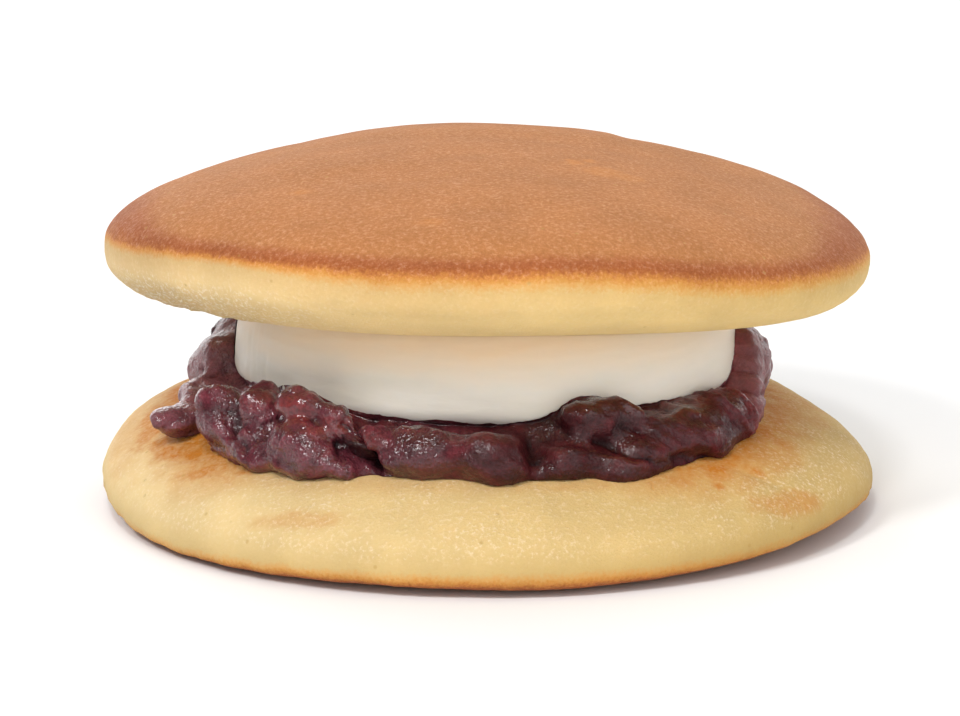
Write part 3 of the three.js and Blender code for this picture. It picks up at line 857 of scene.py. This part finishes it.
def griddled_sponge(name, pale_edge, pale, left_tone_and_painted_light, right_tone_and_painted_light, stain):
    """A griddled batter of egg, flour and honey: a soft matt sponge with fine pores, whose face on the
    griddle browned evenly to a suede-like crust, darkest in a narrow band just inside its edge. It gives
    the eye an even brown that turns through orange into pale yellow within two millimetres."""
    material, add = new_material(name)
    place = add("TexCoord").outputs["Object"]
    past_line, stained, torn = (
        add("Attribute", attribute_name=kept).outputs["Fac"] for kept in ("browning", "stain", "torn")
    )

    # The browning line wanders by about a quarter of a millimetre and frays into single pores.
    line = past_line
    for size, reach in ((2.8, 0.55), (0.4, 0.7)):
        stray = add("TexNoise", {"Vector": place, "Scale": per(size), "Detail": 2.0}).outputs["Fac"]
        stray = add("Math", {0: stray, 1: 2 * reach, 2: -reach}, operation="MULTIPLY_ADD")
        line = add("Math", {0: line, 1: stray}, operation="ADD")
    low, high = BROWNING_SPAN
    share = add("MapRange", {"Value": line, "From Min": low, "From Max": high})
    listed = [(PALE_DEPTH, pale), (PALE_EDGE, pale_edge)] + BROWNING
    stops = [((mm - low) / (high - low), colour) for mm, colour in listed]
    base = add("ValToRGB", {"Fac": share}, stops=stops)

    # Fine mottling of the crust: pores half a millimetre apart and finer ones between, and soft clouds.
    pores = add("TexNoise", {"Vector": place, "Scale": per(0.5), "Detail": 4.0, "Roughness": 0.85})
    pore_tone = add(
        "MapRange",
        {"Value": pores.outputs["Fac"], "From Min": 0.3, "From Max": 0.7, "To Min": 0.78, "To Max": 1.22},
    )
    # The pale side goes from a whiter yellow at the left end to a browner one at the right. This is partly
    # its own tone and partly painted light and shade, which evens out how the lamps on the left light it;
    # the crust gets a faint painted shade on its left.
    across = add("SeparateXYZ", {"Vector": place}).outputs["X"]
    to_right = add("MapRange", {"Value": across, "From Min": -42 * MM, "From Max": 42 * MM})
    tint = add("Mix", {0: to_right, 6: linear(left_tone_and_painted_light), 7: linear(right_tone_and_painted_light)}, data_type="RGBA")
    clouds = add("TexNoise", {"Vector": place, "Scale": per(9), "Detail": 3.0})
    cloud_tone = add(
        "MapRange",
        {"Value": clouds.outputs["Fac"], "From Min": 0.3, "From Max": 0.7, "To Min": 0.93, "To Max": 1.06},
    )
    tone = add("Math", {0: pore_tone, 1: cloud_tone}, operation="MULTIPLY")
    on_crust = add("MapRange", {"Value": line, "From Min": -0.5, "From Max": 1.0})
    tone = add("Mix", {0: on_crust, 2: cloud_tone, 3: tone}, data_type="FLOAT")
    toned = add("VectorMath", {0: base.outputs["Color"], 3: tone}, operation="SCALE")
    crust_painted_shade = add("Mix", {0: to_right, 6: linear("#fcf9f6"), 7: linear("#ffffff")}, data_type="RGBA")
    tint = add("Mix", {0: on_crust, 6: tint.outputs[2], 7: crust_painted_shade.outputs[2]}, data_type="RGBA")
    toned = add("VectorMath", {0: toned, 1: tint.outputs[2]}, operation="MULTIPLY")

    # Brown patches on the pale face, and orange flecks on the crust.
    patchy = add("TexNoise", {"Vector": place, "Scale": per(0.8), "Detail": 3.0})
    patch = add(
        "MapRange",
        {"Value": patchy.outputs["Fac"], "From Min": 0.3, "From Max": 0.7, "To Min": 0.7, "To Max": 1.15},
    )
    amount = add("Math", {0: stained, 1: patch}, operation="MULTIPLY", use_clamp=True)
    stained_colour = add("Mix", {0: amount, 6: toned, 7: linear(stain)}, data_type="RGBA")

    # A few pits where a bubble burst and browned.
    pits = add("TexVoronoi", {"Vector": place, "Scale": per(3.5), "Randomness": 1.0})
    pit = add(
        "MapRange",
        {
            "Value": pits.outputs["Distance"], "From Min": 0.04, "From Max": 0.09,
            "To Min": 0.5, "To Max": 0.0,
        },
    )
    pitted = add("Mix", {0: pit, 6: stained_colour.outputs[2], 7: linear("#b08c4c")}, data_type="RGBA")

    # Torn crumb: lighter specks on the pale face, partly its own paler crumb and partly painted glints of
    # its moist surface.
    crumbs = add("TexNoise", {"Vector": place, "Scale": per(0.5), "Detail": 4.0, "Roughness": 0.75})
    speck = add("MapRange", {"Value": crumbs.outputs["Fac"], "From Min": 0.52, "From Max": 0.68})
    specks_and_glints = add("Math", {0: speck, 1: torn}, operation="MULTIPLY", use_clamp=True)
    colour = add("Mix", {0: specks_and_glints, 6: pitted.outputs[2], 7: linear("#f7e8cc")}, data_type="RGBA")

    # Relief: the crumb's grain, deeper where it is torn, and pinprick pores.
    depth = add("Math", {0: torn, 1: 0.9, 2: 0.3}, operation="MULTIPLY_ADD")
    relief = add("Math", {0: crumbs.outputs["Fac"], 1: depth}, operation="MULTIPLY")
    crumb_bump = add("Bump", {"Height": relief, "Distance": 0.3 * MM, "Strength": 0.8})
    pore_bump = add(
        "Bump",
        {
            "Height": pores.outputs["Fac"], "Distance": 0.12 * MM, "Strength": 0.7,
            "Normal": crumb_bump,
        },
    )
    rough = add(
        "MapRange",
        {"Value": crumbs.outputs["Fac"], "From Min": 0.35, "From Max": 0.7, "To Min": 0.85, "To Max": 0.6},
    )
    sponge = add(
        "BsdfPrincipled",
        {
            "Base Color": colour.outputs[2], "Roughness": rough,
            "Normal": pore_bump, "IOR": 1.4, "Specular IOR Level": 0.35,
            "Subsurface Weight": 0.15, "Subsurface Radius": (1.0, 0.5, 0.2), "Subsurface Scale": 1.2 * MM,
        },
    )
    add("OutputMaterial", {"Surface": sponge})
    return material


def whipped_cream():
    """Whipped dairy cream, spread with a knife: dense white foam with fat in it. It gives the eye a soft
    ivory with light going into it, a satin sheen and faint streaks."""
    material, add = new_material("whipped_cream_spread")
    place = add("TexCoord").outputs["Object"]
    stretched = add("Mapping", {"Vector": place, "Scale": (1.0, 1.0, 3.0)})
    clouds = add("TexNoise", {"Vector": stretched, "Scale": per(9), "Detail": 3.0})
    tint = add(
        "ValToRGB", {"Fac": clouds.outputs["Fac"]},
        stops=[(0.3, "#ded8cb"), (0.55, "#e2dcd1"), (0.75, "#e6e1d7")],
    )
    # Painted shade and reflection: under the upper pancake its top is coloured darker and warmer, as the
    # pancake shades it and throws its warm colour on it.
    apart = add("SeparateXYZ", {"Vector": place})
    height = apart.outputs["Z"]
    ragged = add("Math", {0: clouds.outputs["Fac"], 1: 5 * MM, 2: height}, operation="MULTIPLY_ADD")
    painted_shade_under_pancake = add(
        "MapRange",
        {
            "Value": ragged, "From Min": 23.2 * MM, "From Max": 28.5 * MM,
            "To Min": 0.0, "To Max": 0.75,
        },
    )
    # Painted light: its right end is made lighter, and the painted shade along its top fades out towards
    # it.
    rightward = add("MapRange", {"Value": apart.outputs["X"], "From Min": 8 * MM, "From Max": 30 * MM})
    painted_shade_fading = add("Math", {0: rightward, 1: -0.5, 2: 1.0}, operation="MULTIPLY_ADD")
    painted_shade_under_pancake = add("Math", {0: painted_shade_under_pancake, 1: painted_shade_fading}, operation="MULTIPLY")
    colour = add("Mix", {0: painted_shade_under_pancake, 6: tint.outputs["Color"], 7: linear("#e9c99f")}, data_type="RGBA")
    painted_light_on_right = add("Math", {0: rightward, 1: 0.05, 2: 1.0}, operation="MULTIPLY_ADD")
    colour = add("VectorMath", {0: colour.outputs[2], 3: painted_light_on_right}, operation="SCALE")
    fine = add("TexNoise", {"Vector": stretched, "Scale": per(2), "Detail": 3.0})
    bump = add("Bump", {"Height": fine.outputs["Fac"], "Distance": 0.08 * MM, "Strength": 0.4})
    foam = add(
        "BsdfPrincipled",
        {
            "Base Color": colour, "Roughness": 0.45, "Normal": bump,
            "IOR": 1.45, "Specular IOR Level": 0.4,
            "Subsurface Weight": 0.3, "Subsurface Radius": (1.0, 0.8, 0.6), "Subsurface Scale": 1.5 * MM,
        },
    )
    add("OutputMaterial", {"Surface": foam})
    return material


def azuki_paste():
    """Coarse sweet azuki paste: crushed boiled beans in dark syrup. It gives the eye a deep purple brown,
    redder where a bean's skin shows, with a dull grain under a wet film that breaks into clusters of
    pinpoint glints."""
    material, add = new_material("azuki_paste_coarse")
    place = add("TexCoord").outputs["Object"]
    red, smooth_side, tone_sheen_and_shade = (
        add("Attribute", attribute_name=kept).outputs["Fac"]
        for kept in ("skin_red", "smooth_side", "tone_sheen_and_shade")
    )

    mash = add("TexNoise", {"Vector": place, "Scale": per(2.6), "Detail": 4.0})
    tint = add(
        "ValToRGB", {"Fac": mash.outputs["Fac"]},
        stops=[(0.3, "#3d141b"), (0.5, "#4f1d26"), (0.7, "#652a34")],
    )
    patch = add("TexNoise", {"Vector": place, "Scale": per(2.0), "Detail": 2.0})
    red_patch = add(
        "MapRange",
        {"Value": patch.outputs["Fac"], "From Min": 0.35, "From Max": 0.65, "To Min": 0.3, "To Max": 1.0},
    )
    redness = add("Math", {0: red, 1: red_patch}, operation="MULTIPLY")
    colour = add("Mix", {0: redness, 6: tint.outputs["Color"], 7: linear("#65201f")}, data_type="RGBA")

    # Dull grain: husks and starch half a millimetre across, flatter on the smooth side.
    grains = add("TexNoise", {"Vector": place, "Scale": per(0.5), "Detail": 3.0, "Roughness": 0.7})
    grain_tone = add(
        "MapRange",
        {"Value": grains.outputs["Fac"], "From Min": 0.3, "From Max": 0.7, "To Min": 0.65, "To Max": 1.35},
    )
    tone = add("Math", {0: grain_tone, 1: tone_sheen_and_shade}, operation="MULTIPLY")
    shaded = add("VectorMath", {0: colour.outputs[2], 3: tone}, operation="SCALE")
    warmer = add("Mix", {0: smooth_side, 6: linear("#ffffff"), 7: linear("#fce3d3")}, data_type="RGBA")
    shaded = add("VectorMath", {0: shaded, 1: warmer.outputs[2]}, operation="MULTIPLY")
    # Painted sheen: where the heap slopes up to the upper pancake at both sides, its colour is mixed
    # towards a greyish pink, as light grazing it would show.
    painted_sheen = add(
        "MapRange", {"Value": tone_sheen_and_shade, "From Min": 1.3, "From Max": 2.0, "To Min": 0.0, "To Max": 0.5}
    )
    shaded = add("Mix", {0: painted_sheen, 6: shaded, 7: linear("#8a6668")}, data_type="RGBA")
    depth = add("Math", {0: smooth_side, 1: -0.5, 2: 1.0}, operation="MULTIPLY_ADD")
    depth = add("Math", {0: red, 1: -0.45, 2: depth}, operation="MULTIPLY_ADD", use_clamp=True)
    grain_relief = add("Math", {0: grains.outputs["Fac"], 1: depth}, operation="MULTIPLY")
    bump = add("Bump", {"Height": grain_relief, "Distance": 0.5 * MM, "Strength": 1.0})
    # Syrup lies over it in patches, thin enough for the grain to lift it, and on every bean skin.
    film = add("TexNoise", {"Vector": place, "Scale": per(0.48), "Detail": 1.5})
    calmer = add("Math", {0: red, 1: -0.75, 2: 1.0}, operation="MULTIPLY_ADD")
    film_relief = add("Math", {0: film.outputs["Fac"], 1: calmer}, operation="MULTIPLY")
    film_bump = add("Bump", {"Height": film_relief, "Distance": 0.26 * MM, "Strength": 1.0})
    wetness = add("TexNoise", {"Vector": place, "Scale": per(3.0), "Detail": 2.0})
    wet = add("MapRange", {"Value": wetness.outputs["Fac"], "From Min": 0.34, "From Max": 0.5})
    drier = add("Math", {0: smooth_side, 1: -0.6, 2: 1.0}, operation="MULTIPLY_ADD")
    wet = add("Math", {0: wet, 1: drier}, operation="MULTIPLY")
    wet = add("Math", {0: red, 1: 0.7, 2: wet}, operation="MULTIPLY_ADD", use_clamp=True)
    out_of_creases = add("MapRange", {"Value": tone_sheen_and_shade, "From Min": 0.2, "From Max": 0.5})
    wet = add("Math", {0: wet, 1: out_of_creases}, operation="MULTIPLY")
    unsheened = add("Math", {0: 1.0, 1: painted_sheen}, operation="SUBTRACT")
    wet = add("Math", {0: wet, 1: unsheened}, operation="MULTIPLY")
    paste = add(
        "BsdfPrincipled",
        {
            "Base Color": shaded.outputs[2], "Roughness": 0.45, "Normal": bump,
            "IOR": 1.5, "Specular IOR Level": 0.12,
            "Coat Weight": wet, "Coat Roughness": 0.05, "Coat IOR": 1.5,
            "Coat Normal": film_bump,
            "Subsurface Weight": 0.08, "Subsurface Radius": (1.0, 0.3, 0.25), "Subsurface Scale": 1 * MM,
        },
    )
    add("OutputMaterial", {"Surface": paste})
    return material


# ---- The dorayaki ----

piece(
    lower_pancake(), "lower_pancake_sponge", "lower_pancake",
    griddled_sponge(
        "griddled_sponge_pale_side_up", "#dcbc7d", "#ebcc8f", "#eff2fc", "#d8d2bf", "#ba7222"
    ),
)
piece(
    upper_pancake(), "upper_pancake_sponge", "upper_pancake",
    griddled_sponge(
        "griddled_sponge_browned_side_up", "#e2bf80", "#fbdd9c", "#e3dfe6", "#eceadf", "#cc8440"
    ),
)
piece(cream_mesh(), "whipped_cream_disc", "cream", whipped_cream())
piece(bean_paste(), "bean_paste_heap", "bean_paste", azuki_paste())


# ---- Floor, light and camera ----

FLOOR_SIZE = 4.0  # metres
CAMERA_TARGET = Vector((-0.981, -0.007, 17.61)) * MM
CAMERA_DISTANCE = 520 * MM
CAMERA_ELEVATION = 12.5
CAMERA_LENS = 158.55  # on a sensor 36 mm wide
WORLD_STRENGTH = 0.28

# Soft boxes: azimuth from the front (positive to the right), elevation, distance and size in metres,
# power in watts.
SOFT_BOXES = {
    "key_soft_box": (-14, 28, 0.9, 0.6, 2.3),
    "glint_lamp_left": (-36, 42, 0.9, 0.14, 3.1),
    "glint_lamp_right": (-10, 50, 0.9, 0.11, 2.0),
    "fill_soft_box": (44, 20, 1.0, 0.8, 3.15),
    "top_soft_box": (180, 78, 0.9, 0.8, 1.7),
    "back_left_soft_box": (-152, 20, 0.85, 0.7, 4.0),
    "back_right_soft_box": (145, 20, 0.85, 0.7, 2.6),
}


def floor():
    bm = bmesh.new()
    bmesh.ops.create_grid(bm, x_segments=1, y_segments=1, size=FLOOR_SIZE / 2)
    mesh = mesh_from(bm, "floor")
    material, add = new_material("floor_white_paper")
    paper = add("BsdfPrincipled", {"Base Color": linear("#f0f0f0"), "Roughness": 0.9})
    add("OutputMaterial", {"Surface": paper})
    mesh.materials.append(material)
    linked("floor", mesh)


def aimed(name, data, azimuth, elevation, distance):
    """Puts a lamp or the camera round the dorayaki, looking at it. Azimuth 0 is the front."""
    a, e = math.radians(azimuth), math.radians(elevation)
    outwards = Vector((math.sin(a) * math.cos(e), -math.cos(a) * math.cos(e), math.sin(e)))
    made = linked(name, data)
    made.location = CAMERA_TARGET + outwards * distance
    made.rotation_euler = outwards.to_track_quat("Z", "Y").to_euler()
    return made


def soft_box(name, azimuth, elevation, distance, size, power):
    light = bpy.data.lights.new(name, "AREA")
    light.shape = "SQUARE"
    light.size = size
    light.energy = power
    aimed(name, light, azimuth, elevation, distance)


def camera():
    data = bpy.data.cameras.new("camera")
    data.sensor_width = 36
    data.lens = CAMERA_LENS
    data.clip_start = 0.01
    bpy.context.scene.camera = aimed("camera", data, 0, CAMERA_ELEVATION, CAMERA_DISTANCE)


def surroundings():
    world = bpy.data.worlds.new("white_room")
    world.use_nodes = True
    background = world.node_tree.nodes["Background"]
    background.inputs["Color"].default_value = (1, 1, 1, 1)
    background.inputs["Strength"].default_value = WORLD_STRENGTH
    bpy.context.scene.world = world
    bpy.context.scene.view_settings.view_transform = "Standard"


floor()
surroundings()
for box_name, settings in SOFT_BOXES.items():
    soft_box(box_name, *settings)
camera()
